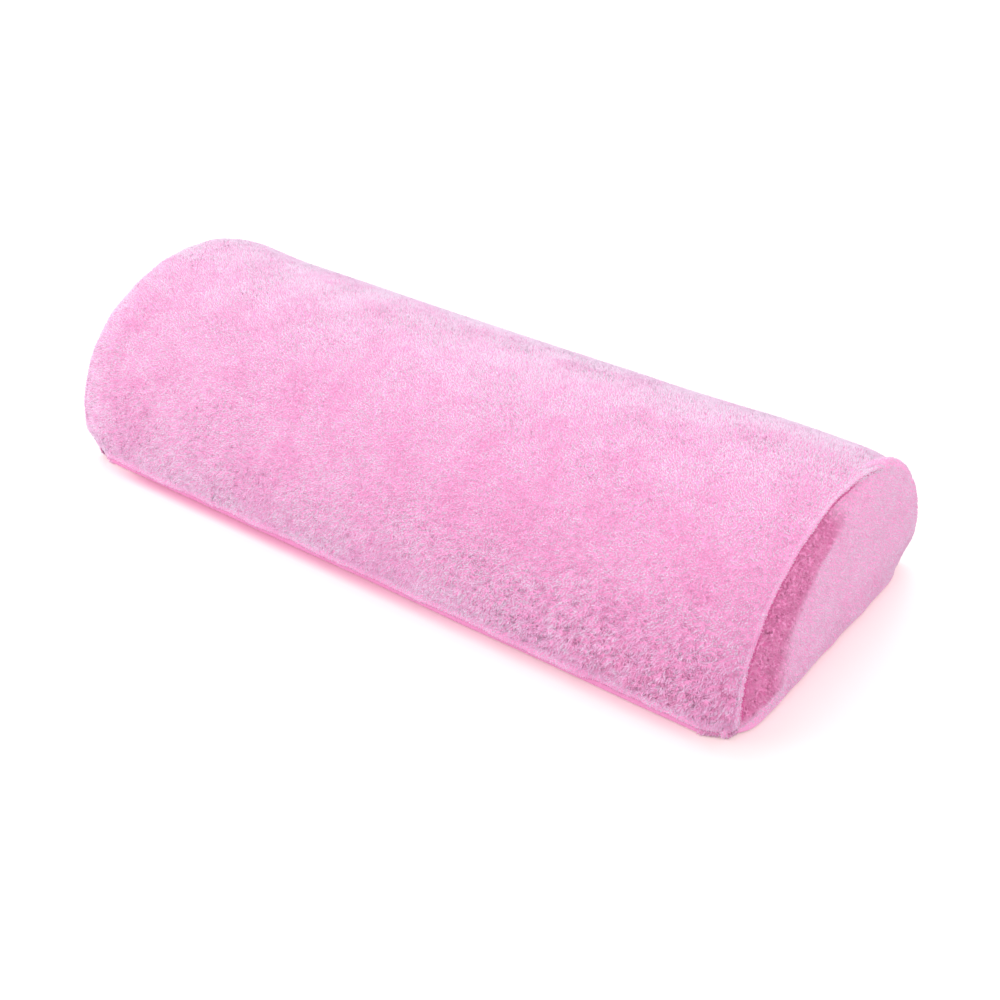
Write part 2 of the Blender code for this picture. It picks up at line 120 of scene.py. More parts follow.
# How far the cloth lies under the plain section, on the sleeve and on the end panels, so
# that the pile comes up to it
GROUND = 0.0009
END_GROUND = 0.0008

# The slit's hems, bare of pile so that the slider runs free
HEM_BARE = 0.0014

# How many pieces the wrap's pile is made in
WRAP_PIECES = 5

# The painted shade in a hem and on the cloth under the ruffled band, against 1 in a lip's fold
HEM_SHADE = 0.3

# How far inside the cover's section the foam lies
FOAM_INSET = CLOTH + 0.0019

SEED = 40519

# The share of the UV square along two of its edges that is left for the pieces' closed ends
UV_EDGE = 0.015


def smooth(value):
    """0 below 0, 1 above 1, and a smooth rise between."""
    value = np.clip(value, 0.0, 1.0)
    return value * value * (3 - 2 * value)


def bell(value, centre, reach):
    """1 at centre, mostly gone at reach from it."""
    return np.exp(-(((value - centre) / (0.6 * reach)) ** 2))


def noise(p, q, cell, seed):
    """Smooth noise from -1 to 1: random values on a square lattice, blended between its corners."""
    lattice = np.random.default_rng(SEED + seed).uniform(-1.0, 1.0, (509, 521))
    a, b = p / cell + 200.0, q / cell + 200.0
    i, j = np.floor(a).astype(int), np.floor(b).astype(int)
    fa, fb = smooth(a - i), smooth(b - j)
    i, j = i % 508, j % 520
    low = lattice[i, j] * (1 - fa) + lattice[i + 1, j] * fa
    high = lattice[i, j + 1] * (1 - fa) + lattice[i + 1, j + 1] * fa
    return low * (1 - fb) + high * fb


def layered(p, q, cell, seed, layers=3):
    """Noise laid over itself, each time at half the size and half the strength."""
    total = 0.0
    for k in range(layers):
        total = total + noise(p + 0.37 * k * cell, q, cell / 2**k, seed + 17 * k) / 2**k
    return total / 1.6


def section(s, inset):
    """The D-shaped section (y, z), drawn in by inset.

    From s = -1 to 0 a quarter ellipse rises up the front foot, from 0 to 1 half an
    ellipse goes over the arch, from 1 to 2 a quarter ellipse goes down the back foot,
    from 2 to 3 a line runs forwards under the base, and past 3 it starts again at -1.
    """
    s = np.where(s > 3, s - 4, s)
    half = HALF_WIDTH - inset
    tuck = FOOT_TUCK * (1 - inset / SHOULDER)
    turn = np.pi * np.clip(s, 0, 1)
    foot = 0.5 * np.pi * np.where(s < 0, -s, np.clip(s - 1, 0, 1))
    arch = (s >= 0) & (s <= 1)
    base = s > 2
    y_foot = np.where(s < 0, -1.0, 1.0) * (half - tuck * (1 - np.cos(foot)))
    z_foot = SHOULDER - (SHOULDER - inset) * np.sin(foot)
    y_base = (half - tuck) * (5 - 2 * s)
    y = np.where(base, y_base, np.where(arch, -half * np.cos(turn), y_foot))
    z_arch = SHOULDER + (CROWN - SHOULDER - inset) * np.sin(turn)
    z = np.where(base, inset, np.where(arch, z_arch, z_foot))
    return y, z


# The section's length, so that a place on it can be given in metres from the front toe
TABLE_S = np.linspace(-1.0, 4.0, 5001)
TABLE_Y, TABLE_Z = section(TABLE_S, np.zeros(5001))
TABLE_V = np.concatenate([[0.0], np.cumsum(np.hypot(np.diff(TABLE_Y), np.diff(TABLE_Z)))])


def at_s(s):
    """Metres round the section to station s."""
    return np.interp(s, TABLE_S, TABLE_V)


def back_at(height):
    """Metres round the section to the back wall at a height above the table."""
    back = (TABLE_S > 0.6) & (TABLE_S < 2.0)
    return np.interp(-height, -TABLE_Z[back], TABLE_V[back])


def front_at(height):
    """Metres round the section to the front foot at a height above the table."""
    front = TABLE_S < 0
    return np.interp(height, TABLE_Z[front], TABLE_V[front])


CROWN_V = at_s(0.5)
BASE_V = at_s(2.0)
BASE_END_V = at_s(3.0)

# Once round the section, which starts again at the front toe
ROUND_V = BASE_END_V

# Places where the stuffing swells or settles: x, metres round the section, reaches, height
SWELLS = (
    (0.000, CROWN_V, 0.110, 0.070, -0.0012),
    (-0.138, CROWN_V + 0.020, 0.030, 0.050, 0.0022),
    (0.112, CROWN_V + 0.020, 0.035, 0.050, 0.0010),
    (-0.100, at_s(-0.4), 0.045, 0.014, 0.0004),
    (0.132, CROWN_V - 0.045, 0.022, 0.040, 0.0006),
    (0.020, at_s(0.12), 0.080, 0.030, 0.0007),
    (-0.142, at_s(0.10), 0.020, 0.025, -0.0008),
)

# Soft creases in the cloth: x, metres round the section, direction, length, half-width, depth
CREASES = (
    (-0.074, front_at(0.0065), 1.20, 0.004, 0.0009, 0.0008),
    (0.124, at_s(0.10), 1.90, 0.014, 0.0016, 0.0003),
    (0.136, at_s(0.22), 1.25, 0.012, 0.0014, 0.0003),
    (0.141, at_s(0.36), 1.75, 0.012, 0.0013, 0.0003),
)


def relief(x, v):
    """How far the cloth stands out of the plain section: swells, creases and uneven pile."""
    height = 0.00022 * layered(x, v, 0.040, 1, 2) + 0.00006 * layered(x, v, 0.0085, 2)
    for place_x, place_v, reach_x, reach_v, lift in SWELLS:
        height = height + lift * bell(x, place_x, reach_x) * bell(v, place_v, reach_v)
    for place_x, place_v, turn, length, half_width, depth in CREASES:
        along = (x - place_x) * math.cos(turn) + (v - place_v) * math.sin(turn)
        across = (x - place_x) * math.sin(turn) - (v - place_v) * math.cos(turn)
        across = (across + 0.0012 * noise(along, 0 * along, 0.004, 9)) / half_width
        groove = np.exp(-(across**2)) - 0.45 * np.exp(-((across / 2.4) ** 2))
        height = height - depth * groove * np.exp(-((along / length) ** 2))
    wave = 0.0005 * noise(x, 0 * x, 0.011, 3) + 0.0002 * noise(x, 0 * x, 0.004, 4)
    wave = wave * smooth((0.140 - np.abs(x)) / 0.020)
    height = height + wave * bell(v, front_at(FRONT_SEAM) + 0.0015, 0.004)
    return height - GROUND * (0.25 + 0.75 * smooth((np.mod(v, ROUND_V) - 0.001) / 0.006))


def under_at(v):
    """1 on the flat underside, 0 on the arch and the feet, with a short change between."""
    return smooth((v - BASE_V + 0.003) / 0.006) * smooth((BASE_END_V + 0.003 - v) / 0.006)


def corner_at(v):
    """1 at the toes of the front and the back foot, gone 12 mm from them."""
    return bell(v, 0.0, 0.012) + bell(v, BASE_V, 0.014) + bell(v, BASE_END_V, 0.012)


def low_at(v):
    """1 where the plain section meets the table, 0 from 10 mm above it."""
    return smooth(1 - np.interp(np.mod(v, ROUND_V), TABLE_V, TABLE_Z) / 0.010)


def flush_at(v):
    """0 on the front, where the wrap's lip stands past the panel, and 1 at the back and low down."""
    place = np.mod(v, ROUND_V)
    back = smooth((place - at_s(0.50)) / 0.035) * smooth((BASE_END_V - place) / 0.060)
    return np.maximum(back, low_at(v))


def rim_section(v, extra):
    """An end panel's rim (y, z): drawn in behind the wrap's lip, but down to the table at its foot."""
    inset = RIM_INSET + (RIM_BACK_INSET - RIM_INSET) * flush_at(v)
    inset = inset + (RIM_LOW_INSET - inset) * low_at(v) ** 2
    corner = 1.1 * CORNER_ROUND * corner_at(v)
    y, z = section(np.interp(np.mod(v, ROUND_V), TABLE_V, TABLE_S), inset + corner + extra)
    return y, z - low_at(v) * corner


def slit_at(x):
    """The open height of the back seam: the zip's slit, and a sewn seam past its ends."""
    return SLIT + (SEWN - SLIT) * smooth((np.abs(x) - ZIP_HALF) / SLIT_TAPER)


def sleeve(w, v, roll=0.0):
    """A point of the cover's sleeve, w along the cushion and v round its section, in metres.

    Past the fold line the cloth turns through half a circle into the end seam and runs
    back behind it. roll draws the point in further, where a long edge turns under.
    """
    side = np.sign(w)
    past = np.maximum(np.abs(w) - FOLD_X, 0.0)
    turn = np.minimum(past / LIP_RADIUS, np.pi)
    tuck = np.maximum(past - np.pi * LIP_RADIUS, 0.0)
    x = np.minimum(np.abs(w), FOLD_X)
    run = np.clip((x - (TIP_X - LIP_RUN)) / (LIP_RUN - LIP_RADIUS), 0.0, 1.0)
    place = 0.1 * side + 0 * v
    lumps = 0.0005 * noise(v, place, 0.008, 5) + 0.0003 * noise(v, place, 0.003, 6)
    above = 1 - under_at(v)
    height = (relief(side * x, v) + lumps * smooth(1.5 * run - 0.5)) * above
    radius = LIP_RADIUS + height * (1 - turn / np.pi)
    corner = corner_at(v) * smooth((x - TIP_X + 0.016) / 0.016)
    far = x + radius * np.sin(turn) - tuck - CORNER_PULL * corner
    far = far - HEM_BACK * (1 - above) * (1 - corner) * run
    far = far - LIP_BACK_PULL * flush_at(v) * above * run
    drop = LIP_DROP * run**2 + CORNER_ROUND * corner
    y, z = section(np.interp(v, TABLE_V, TABLE_S), drop + LIP_RADIUS - radius * np.cos(turn) + roll)
    return np.stack([side * far, y, np.maximum(z - low_at(v) * drop, 0.0)], axis=-1)


def wrap_first(x):
    """The wrap's lower front edge, in metres round the section."""
    return front_at(FRONT_SEAM + SEWN / 2) + 0 * x


def wrap_last(x):
    """The wrap's edge above the zip's slit, in metres round the section."""
    return back_at(ZIP_HEIGHT + slit_at(x) / 2)


def base_first(x):
    """The base panel's edge below the zip's slit, in metres round the section."""
    return back_at(ZIP_HEIGHT - slit_at(x) / 2)


def base_last(x):
    """The base panel's front edge, past the toe of the front foot."""
    return BASE_END_V + front_at(FRONT_SEAM - SEWN / 2) + 0 * x


def roll_at(distance):
    """How far the cloth draws in at a distance from its long edge: a quarter circle."""
    near = np.clip(EDGE_RADIUS - distance, 0.0, EDGE_RADIUS)
    return EDGE_RADIUS - np.sqrt(EDGE_RADIUS**2 - near**2)


def panel_surface(first, last):
    """The outer face of a panel of the sleeve, rolled in along its first and its last edge."""

    def surface(w, v):
        x = np.clip(w, -FOLD_X, FOLD_X)
        return sleeve(w, v, roll_at(np.minimum(v - first(x), last(x) - v)))

    return surface


wrap_surface = panel_surface(wrap_first, wrap_last)
base_surface = panel_surface(base_first, base_last)


def end_face(side, k, v):
    """A point of an end panel's outer face: k from 0 at its middle to 1 at its rim.

    Each ring is the section at the rim, shrunk by k towards the panel's middle, and the
    face is fullest there and falls away to the rim as 1 - k**4, with a soft uneven relief.
    """
    y, z = rim_section(v, RIM_RADIUS + 0.0 * k)
    y, z = y * k, CROWN / 2 + (z - CROWN / 2) * k
    uneven = 0.0005 * layered(y, z + 0.3 * side, 0.022, 7) + 0.0002 * noise(y, z, 0.006, 8)
    pull = 0.0004 * noise(v, 0.2 * side + 0 * v, 0.007, 10) * smooth((k - 0.8) / 0.2)
    rim_x = RIM_X + RIM_BACK_RISE * flush_at(v) * k**4
    x = rim_x + (PANEL_X - RIM_X) * (1 - k**4) + uneven * (1 - k**8) + pull
    x = x - CORNER_PULL * corner_at(v) * k**8
    return np.stack([side * (x - END_GROUND), y, z], axis=-1)


def outward(points, faces, uvs):
    """The faces and their UVs, turned the other way round if the closed mesh is inside out."""
    volume = 0.0
    for corners in faces:
        for k in range(1, corners.shape[1] - 1):
            a, b, c = points[corners[:, 0]], points[corners[:, k]], points[corners[:, k + 1]]
            volume += np.einsum("ij,ij->", a, np.cross(b, c))
    turn = -1 if volume < 0 else 1
    return [corners[:, ::turn] for corners in faces], [places[:, ::turn] for places in uvs]


def add_piece(name, points, faces, uvs, material, marks=None, normals=None):
    """A smooth-shaded mesh object from an array of points and arrays of quads and triangles.

    uvs holds (u, v) for each corner of each face, marks one named row of values per point,
    and normals, if given, a shading direction per point.
    """
    points = points.reshape(-1, 3)
    faces, uvs = outward(points, faces, uvs)
    corners = np.concatenate([f.ravel() for f in faces]).astype(np.int32)
    sizes = np.concatenate([np.full(len(f), f.shape[1]) for f in faces])
    starts = np.concatenate([[0], np.cumsum(sizes)[:-1]]).astype(np.int32)
    mesh = bpy.data.meshes.new(name)
    mesh.vertices.add(len(points))
    mesh.vertices.foreach_set("co", points.astype(np.float32).ravel())
    mesh.loops.add(len(corners))
    mesh.loops.foreach_set("vertex_index", corners)
    mesh.polygons.add(len(starts))
    mesh.polygons.foreach_set("loop_start", starts)
    mesh.update(calc_edges=True)
    mesh.shade_smooth()
    for mark, values in (marks or {}).items():
        layer = mesh.attributes.new(mark, "FLOAT", "POINT")
        layer.data.foreach_set("value", np.asarray(values, np.float32).ravel())
    layer = mesh.uv_layers.new(name="OFBake")
    layer.data.foreach_set("uv", np.concatenate([u.ravel() for u in uvs]).astype(np.float32))
    if normals is not None:
        mesh.normals_split_custom_set_from_vertices(normals.reshape(-1, 3).tolist())
    mesh.materials.append(material)
    made = bpy.data.objects.new(name, mesh)
    bpy.context.scene.collection.objects.link(made)
    return made


def grid_quads(rows, columns):
    """The quads of a grid of rows by columns of points, joined round, and their UVs."""
    r, c = np.meshgrid(np.arange(rows - 1), np.arange(columns), indexing="ij")
    d = (c + 1) % columns
    quads = [r * columns + c, r * columns + d, (r + 1) * columns + d, (r + 1) * columns + c]
    u = np.stack([c, c + 1, c + 1, c], axis=-1) / columns
    t = UV_EDGE + (1 - 2 * UV_EDGE) * np.stack([r, r, r + 1, r + 1], axis=-1) / (rows - 1)
    return np.stack(quads, axis=-1).reshape(-1, 4), np.stack([u, t], axis=-1).reshape(-1, 4, 2)


def capped(points):
    """A tube of rings closed at a pole in each end: its points, its faces and their UVs."""
    rows, columns = points.shape[:2]
    count = rows * columns
    poles = np.array([points[0].mean(axis=0), points[-1].mean(axis=0)])
    quads, quad_uv = grid_quads(rows, columns)
    c = np.arange(columns)
    d = (c + 1) % columns
    first = np.stack([d, c, 0 * c + count], axis=-1)
    last = np.stack([c + count - columns, d + count - columns, 0 * c + count + 1], axis=-1)
    u = np.stack([c + 1, c, 0 * c + columns / 2], axis=-1) / columns
    t = np.array([UV_EDGE, UV_EDGE, 0.0]) + 0 * u
    first_uv, last_uv = np.stack([u, t], axis=-1), np.stack([u[:, [1, 0, 2]], 1 - t], axis=-1)
    everything = np.concatenate([points.reshape(-1, 3), poles])
    return everything, [quads, first, last], [quad_uv, first_uv, last_uv]


def strip_between(fine, coarse, owner):
    """Triangles between two rows of point numbers; owner gives each fine point its coarse one."""
    first = np.stack([fine[:-1], fine[1:], coarse[owner[:-1]]], axis=-1)
    steps = np.flatnonzero(np.diff(owner))
    second = np.stack([fine[steps + 1], coarse[owner[steps + 1]], coarse[owner[steps]]], axis=-1)
    return np.concatenate([first, second])


def edge_rows(first, last, count):
    """Rows round the section between two long edges, closest together where they roll in."""
    lip = EDGE_RADIUS * (1 - np.sin(np.linspace(0.5 * np.pi, 0.0, 6)[:-1]))[:, None]
    share = np.linspace(0.0, 1.0, count)[:, None]
    middle = (first + EDGE_RADIUS) * (1 - share) + (last - EDGE_RADIUS) * share
    return np.concatenate([first + lip, middle, last - lip[::-1]])


def make_sleeve_panel(name, first, last, step, material):
    """The wrap or the base as a closed shell: its outer face with both folded ends, and a lining."""
    ends = FOLD_X + np.linspace(0.0, np.pi * LIP_RADIUS, 10)
    ends = np.concatenate([ends, [ends[-1] + LIP_TUCK]])
    run = np.linspace(0.0, FOLD_X, int(FOLD_X / step))[:-1]
    half = np.concatenate([run, ends])
    w = np.concatenate([-half[:0:-1], half])
    x = np.clip(w, -FOLD_X, FOLD_X)
    v = edge_rows(first(x)[None, :], last(x)[None, :], int((last(0.0) - first(0.0)) / step))
    outer = panel_surface(first, last)(w[None, :], v)

    lining_x = np.linspace(FOLD_X - LIP_TUCK, LIP_TUCK - FOLD_X, 41)
    owner = np.abs(lining_x[None, :] - x[:, None]).argmin(axis=1)
    s = np.interp(v[:, [np.abs(x - at).argmin() for at in lining_x]], TABLE_V, TABLE_S)
    lining_y, lining_z = section(s, CLOTH)
    lining = np.stack([lining_x + 0 * lining_y, lining_y, lining_z], axis=-1)

    points = np.concatenate([outer, lining], axis=1)
    rows, columns = points.shape[:2]
    quads, quad_uv = grid_quads(rows, columns)
    fine = np.arange(len(w))
    coarse = len(w) + np.arange(len(lining_x))
    start = strip_between(fine, coarse, owner)
    edge = np.concatenate([0 * w, 0 * lining_x + UV_EDGE])
    edge = np.stack([0.5 + np.concatenate([w, lining_x]) / (2 * w[-1]), edge], axis=-1)
    faces = [quads, start[:, ::-1], start + (rows - 1) * columns]
    uvs = [quad_uv, edge[start[:, ::-1]], [0.0, 1.0] + [1.0, -1.0] * edge[start]]
    # Painted shade on the cloth: full in the lips' folds and the lining, fading near the table, and
    # lighter in the base's front hem under the wrap's front edge
    hidden = np.concatenate([smooth((np.abs(w) - FOLD_X) / LIP_RADIUS - 1.0), 1 + 0 * lining_x])
    hidden = hidden * (1 - smooth(low_at(v[:, :1]) / 0.3))
    marks = {"band": np.maximum(hidden, HEM_SHADE * smooth((v[:, :1] - BASE_END_V) / 0.0015))}
    return add_piece(name, points, faces, uvs, material, marks)


# The rings behind an end panel's rim, which slope in under the wrap and then line the
# panel: how far back each stands, its share of the rim's size, and how far it is drawn in
SKIRT = (
    (-0.002, 1.0, 0.0025),
    (0.003, 1.0, 0.0035),
    (0.003, 0.93, 0.002),
    (0.0, 0.5, 0.0),
    (0.0, 0.1, 0.0),
)


def make_end_panel(name, side, material):
    """A D-shaped end panel: its face from the middle out, its rim turned in, and its lining."""
    v = np.linspace(0.0, ROUND_V, 320, endpoint=False)[None, :]
    k = np.concatenate([np.linspace(0.03, 0.9, 36), np.linspace(0.9, 1.0, 14)[1:]])[:, None]
    face = end_face(side, k, v)
    rings = [face]
    for turn in (0.4, 0.8, 1.2, 1.57):
        y, z = rim_section(v, RIM_RADIUS * (1 - math.sin(turn)))
        x = face[-1:, :, 0] - side * RIM_RADIUS * (1 - math.cos(turn))
        rings.append(np.stack([x, y, z], axis=-1))
    for back, shrink, inset in SKIRT:
        y, z = rim_section(v, inset)
        y, z = y * shrink, CROWN / 2 + (z - CROWN / 2) * shrink
        x = 0 * y + side * (RIM_X - CLOTH - back + (PANEL_X - RIM_X) * (1 - shrink**4))
        rings.append(np.stack([x, y, z], axis=-1))
    points, faces, uvs = capped(np.concatenate(rings))
    # Painted shade on the cloth: light under the seam's band, full behind the wrap's lip at the rim,
    # and on the rim and lining rings in front
    band = seam_band(face[..., 1], face[..., 2])
    hidden = 1 - smooth(flush_at(v) / 0.5)
    band = np.maximum(HEM_SHADE * band, smooth((k - PILE_RING) / 0.03) * hidden)
    band = np.concatenate([band, hidden + np.zeros((len(rings) - 1, 1))])
    marks = {"band": np.concatenate([band.ravel(), [0.0, 1.0]])}
    return add_piece(name, points, faces, uvs, material, marks)


def make_foam(material):
    """The foam core: the section drawn in, its ends crowned, and closed at a pole in each end."""
    s = np.linspace(-1.0, 3.0, 120, endpoint=False)[None, :]
    k = np.sin(np.linspace(0.1, 0.5 * np.pi, 8))
    reach = PANEL_X - 2 * CLOTH
    end = reach - 0.008 * k**6
    middle = np.linspace(0.009 - reach, reach - 0.009, 40)
    x = np.concatenate([-end, middle, end[::-1]])
    scale = np.concatenate([k, 1 + 0 * middle, k[::-1]])
    y, z = section(s, FOAM_INSET)
    rings = [x[:, None] + 0 * y, y * scale[:, None], CROWN / 2 + (z - CROWN / 2) * scale[:, None]]
    return add_piece("foam", *capped(np.stack(rings, axis=-1)), material)


def tufts(name, roots, normals, lengths, radius, lean, marks, material):
    """A pile of tufts: each a three-sided point whose foot lies in the cloth and whose tip leans.

    The foot is a triangle of the given radius, ROOT_DEPTH below the cloth, turned at random,
    and the tip is the root moved by its length along the normal and by lean.
    """
    count = len(roots)
    rng = np.random.default_rng(SEED + count)
    helper = np.where(np.abs(normals[:, :1]) < 0.9, [[1.0, 0.0, 0.0]], [[0.0, 1.0, 0.0]])
    across = np.cross(normals, helper)
    across /= np.linalg.norm(across, axis=1, keepdims=True)
    other = np.cross(normals, across)
    angle = rng.uniform(0, 2 * np.pi, count)[:, None] + np.arange(3)[None, :] * 2 * np.pi / 3
    ring = np.cos(angle)[..., None] * across[:, None] + np.sin(angle)[..., None] * other[:, None]
    foot = roots[:, None] - ROOT_DEPTH * normals[:, None] + radius[:, None, None] * ring
    tip = (roots + normals * lengths[:, None] + lean)[:, None]
    points = np.concatenate([foot, tip], axis=1)
    points[..., 2] = np.maximum(points[..., 2], 0.0)
    corners = np.array([(0, 1, 3), (1, 2, 3), (2, 0, 3), (2, 1, 0)])
    faces = [(4 * np.arange(count)[:, None, None] + corners[None]).reshape(-1, 3)]

    columns = math.ceil(math.sqrt(count))
    cell = np.stack([np.arange(count) % columns, np.arange(count) // columns], axis=-1)[:, None]
    local = np.array([(0.05, 0.05), (0.95, 0.05), (0.5, 0.35), (0.5, 0.95)])
    uv = ((cell + local[None]) / columns).reshape(-1, 2)[faces[0]]
    marks = {mark: np.repeat(values, 4) for mark, values in marks.items()}
    # height runs from the feet to the tip, and the colour is painted darker at the feet as shade
    marks["height"] = np.tile([0.0, 0.0, 0.0, 1.0], count)
    shading = np.concatenate([normals[:, None] + 0.45 * ring, normals[:, None]], axis=1)
    shading /= np.linalg.norm(shading, axis=-1, keepdims=True)
    return add_piece(name, points, faces, [uv], material, marks, shading)


def scatter(width, depth, spacing, seed):
    """Places on a rectangle: a lattice with every other row shifted, each moved a little at random."""
    rng = np.random.default_rng(SEED + seed)
    rows, columns = int(depth / spacing / 0.87), int(width / spacing)
    p, q = np.meshgrid(np.arange(columns) + 0.5, np.arange(rows) + 0.5)
    p = p + 0.5 * (q.astype(int) % 2) + rng.uniform(-0.6, 0.6, p.shape)
    q = q + rng.uniform(-0.6, 0.6, q.shape)
    return p.ravel() * width / columns, q.ravel() * depth / rows


def feed(tree, socket, value):
    """Sets a socket to a value, or links it to the socket that feeds it."""
    if isinstance(value, bpy.types.NodeSocket):
        tree.links.new(value, socket)
    else:
        socket.default_value = value


def add_node(tree, kind, settings=None, **inputs):
    """A node with its settings and its inputs, by name, or by number as _0 and on."""
    made = tree.nodes.new(kind)
    for name, value in (settings or {}).items():
        setattr(made, name, value)
    for name, value in inputs.items():
        feed(tree, made.inputs[int(name[1:]) if name[1:].isdigit() else name.replace("_", " ")], value)
    return made


def times(tree, first, second):
    """first multiplied by second."""
    return add_node(tree, "ShaderNodeMath", {"operation": "MULTIPLY"}, _0=first, _1=second).outputs[0]


def mix_colours(tree, share, low, high):
    """low where share is 0, high where it is 1."""
    made = add_node(tree, "ShaderNodeMix", {"data_type": "RGBA"})
    for number, value in ((0, share), (6, low), (7, high)):
        feed(tree, made.inputs[number], value)
    return made.outputs[2]


def span(tree, value, low, high, to_low=0.0, to_high=1.0):
    """value moved from the range low..high to to_low..to_high, and held inside it."""
    made = add_node(tree, "ShaderNodeMapRange", {"interpolation_type": "SMOOTHSTEP"}, Value=value)
    made.inputs["From Min"].default_value = low
    made.inputs["From Max"].default_value = high
    made.inputs["To Min"].default_value = to_low
    made.inputs["To Max"].default_value = to_high
    return made.outputs[0]


def new_group(name, inputs, outputs):
    """An empty shader group with its sockets: (name, kind, value) in, and (name, kind) out."""
    tree = bpy.data.node_groups.new(name, "ShaderNodeTree")
    for label, kind, value in inputs:
        tree.interface.new_socket(label, in_out="INPUT", socket_type=kind).default_value = value
    for label, kind in outputs:
        tree.interface.new_socket(label, in_out="OUTPUT", socket_type=kind)
    return tree, tree.nodes.new("NodeGroupInput").outputs, tree.nodes.new("NodeGroupOutput").inputs


COLOUR = "NodeSocketColor"
NUMBER = "NodeSocketFloat"

# The terry's colours: painted shade between the pile, flat pile, its tips, and painted
# shade in the seams and folds
DEEP = (0.92, 0.35, 0.62, 1.0)
PILE = (0.945, 0.47, 0.77, 1.0)
TIP = (0.955, 0.76, 0.94, 1.0)
END_PILE_COLOUR = (0.95, 0.43, 0.72, 1.0)
END_TIP = (0.96, 0.69, 0.89, 1.0)
SHADE = (0.74, 0.08, 0.32, 1.0)
CREASE_SHADE = (0.50, 0.06, 0.22, 1.0)
SHEEN = (1.0, 0.74, 0.93, 1.0)

# The plain finishes: two tones, the scale and depth of the grain, and the shader's values
PLAIN = {
    "foam_cells": (
        (0.80, 0.76, 0.62, 1.0), (0.92, 0.89, 0.78, 1.0), 700.0, 0.0004, {"Roughness": 0.9},
    ),
    "tape_weave": (
        (0.62, 0.20, 0.38, 1.0), (0.80, 0.32, 0.54, 1.0), 1500.0, 0.0002, {"Roughness": 0.85},
    ),
    "coil_nylon": (
        (0.80, 0.34, 0.56, 1.0), (0.88, 0.44, 0.66, 1.0), 400.0, 0.00002, {"Roughness": 0.38},
    ),
    "slider_nickel": (
        (0.66, 0.65, 0.66, 1.0), (0.80, 0.79, 0.80, 1.0), 300.0, 0.00002,
        {"Roughness": 0.3, "Metallic": 1.0},
    ),
}


def make_patch_group():
    """Patches: how deep in the pile one looks, from broad and small noise on Object coordinates."""
    inputs = [("Broad", NUMBER, 60.0), ("Small", NUMBER, 220.0)]
    tree, given, result = new_group("pile_patches", inputs, [("Patches", NUMBER)])
    place = add_node(tree, "ShaderNodeTexCoord").outputs["Object"]
    broad = add_node(tree, "ShaderNodeTexNoise", Vector=place, Scale=given["Broad"], Detail=3.0)
    small = add_node(tree, "ShaderNodeTexNoise", Vector=place, Scale=given["Small"], Detail=2.0)
    wide = span(tree, broad.outputs[0], 0.47, 0.62)
    near = span(tree, small.outputs[0], 0.42, 0.66)
    near = times(tree, near, 0.4)
    both = add_node(tree, "ShaderNodeMath", {"operation": "MULTIPLY_ADD"}, _0=wide, _1=0.6, _2=near)
    tree.links.new(both.outputs[0], result["Patches"])
    return tree


def make_terry_group(patches):
    """Terry colour: painted shade at the root of the pile, pale at its tips, deeper in its patches."""
    inputs = [
        ("Deep", COLOUR, DEEP),
        ("Pile", COLOUR, PILE),
        ("Tip", COLOUR, TIP),
        ("Shade", COLOUR, SHADE),
        ("Height", NUMBER, 0.0),
        ("Tone", NUMBER, 0.5),
        ("Band", NUMBER, 0.0),
        ("Patch Share", NUMBER, 0.5),
    ]
    tree, given, result = new_group("terry_colour", inputs, [("Colour", COLOUR)])
    seen = add_node(tree, "ShaderNodeGroup", {"node_tree": patches})
    low_tone = span(tree, given["Tone"], 0.0, 0.35)
    tips = mix_colours(tree, given["Tone"], given["Pile"], given["Tip"])
    tips = mix_colours(tree, low_tone, given["Deep"], tips)
    kept = span(tree, given["Tone"], 0.70, 1.05, 1.0, 0.45)
    patch = times(tree, times(tree, seen.outputs[0], given["Patch Share"]), kept)
    worn = mix_colours(tree, patch, tips, given["Pile"])
    # Painted shade: towards Deep at the roots of the tufts, where they shade each other
    rise = span(tree, given["Height"], 0.0, 0.75)
    colour = mix_colours(tree, rise, given["Deep"], worn)
    # Painted shade: Band mixes in Shade beside the end seams, in the lips' folds and in hems
    band = times(tree, given["Band"], 0.9)
    tree.links.new(mix_colours(tree, band, colour, given["Shade"]), result["Colour"])
    return tree


def new_material(name, **constants):
    """A material with a Principled shader, its constant sockets set, and its tree."""
    material = bpy.data.materials.new(name)
    material.use_nodes = True
    shader = material.node_tree.nodes["Principled BSDF"]
    for label, value in constants.items():
        shader.inputs[label.replace("_", " ")].default_value = value
    return material, material.node_tree, shader


def make_terry(name, terry, tones, patch_share, height=None):
    """Terry for a pile, whose height and tone are attributes, or for the cloth under it."""
    material, tree, shader = new_material(
        name, Roughness=0.95, Sheen_Weight=0.2, Sheen_Roughness=0.35, Sheen_Tint=SHEEN
    )
    shader.inputs["Specular IOR Level"].default_value = 0.2
    group = add_node(tree, "ShaderNodeGroup", {"node_tree": terry})
    for label, tone in zip(("Deep", "Pile", "Tip", "Shade"), tones):
        group.inputs[label].default_value = tone
    group.inputs["Patch Share"].default_value = patch_share
    for label in ("Height", "Tone", "Band") if height is None else ("Band",):
        mark = add_node(tree, "ShaderNodeAttribute", {"attribute_name": label.lower()})
        tree.links.new(mark.outputs["Fac"], group.inputs[label])
    if height is not None:
        group.inputs["Height"].default_value = height
        place = add_node(tree, "ShaderNodeTexCoord").outputs["Object"]
        loops = add_node(tree, "ShaderNodeTexVoronoi", Vector=place, Scale=900.0)
        bump = add_node(tree, "ShaderNodeBump", Height=loops.outputs[0], Distance=0.0004, Strength=0.5)
        tree.links.new(bump.outputs[0], shader.inputs["Normal"])
    tree.links.new(group.outputs[0], shader.inputs["Base Color"])
    return material


